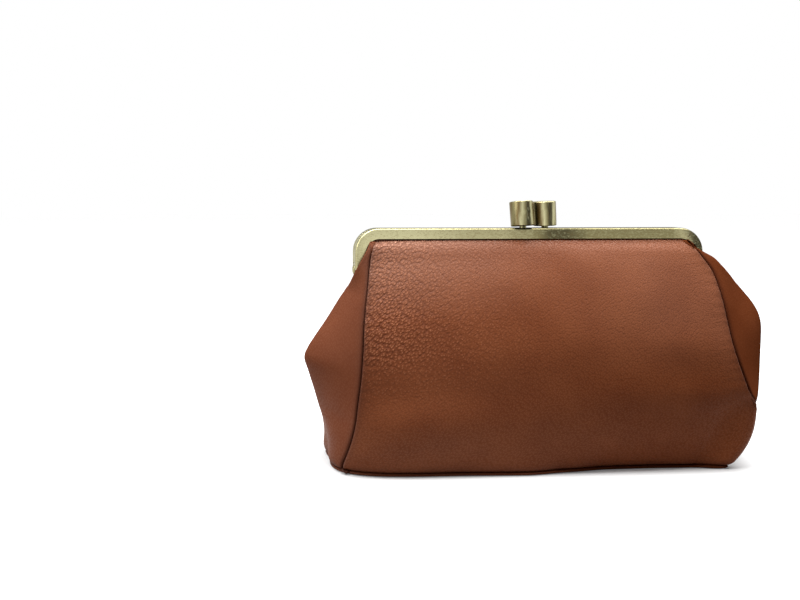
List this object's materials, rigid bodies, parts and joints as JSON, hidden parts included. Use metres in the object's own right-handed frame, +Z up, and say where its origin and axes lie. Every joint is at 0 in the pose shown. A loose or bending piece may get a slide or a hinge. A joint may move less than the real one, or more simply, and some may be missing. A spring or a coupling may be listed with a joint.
{
  "type": "framed clutch bag",
  "caption": "Soft leather clutch bag on a hinged brass channel frame that shuts with two kiss-lock knobs.",
  "frame": {"origin": "middle of the underside of the base, which lies on Z = 0", "axes": "+X along the bag to its right seen from the front, -Y out of the front, +Z up; the bag is closed"},
  "size_m": [0.2645, 0.076, 0.1472],
  "materials": {
    "brass": "brushed antique brass",
    "knob_brass": "brushed antique brass, vertical brushing",
    "leather": "pebbled, semi-matt tan",
    "gusset_leather": "smooth, semi-matt tan",
    "lining": "woven cotton",
    "paper_cord": "twisted paper",
    "board": "pressed grey board"
  },
  "bodies": {
    "bag_body": {"front_panel": "leather", "rear_panel": "leather", "left_gusset": "gusset_leather", "right_gusset": "gusset_leather", "base_panel": "leather", "base_board": "board", "front_lining": "lining", "rear_lining": "lining", "left_gusset_lining": "lining", "right_gusset_lining": "lining", "base_lining": "lining", "left_hinge_rivet": "brass", "right_hinge_rivet": "brass"},
    "front_half": {"front_frame": "brass", "front_knob": "knob_brass", "front_channel_cord": "paper_cord", "front_top_panel": "leather", "front_top_lining": "lining"},
    "rear_half": {"rear_frame": "brass", "rear_knob": "knob_brass", "rear_channel_cord": "paper_cord", "rear_top_panel": "leather", "rear_top_lining": "lining"}
  },
  "joints": [
    {"name": "front_frame_hinge", "type": "hinge", "parent": "bag_body", "child": "front_half", "pos_m": [0, 0, 0.108], "axis": [1, 0, 0], "range_deg": [0, 45]},
    {"name": "rear_frame_hinge", "type": "hinge", "parent": "bag_body", "child": "rear_half", "pos_m": [0, 0, 0.108], "axis": [-1, 0, 0], "range_deg": [0, 45]}
  ],
  "couplings": [
    {"joint": "rear_frame_hinge", "follows": "front_frame_hinge", "ratio": 1}
  ]
}
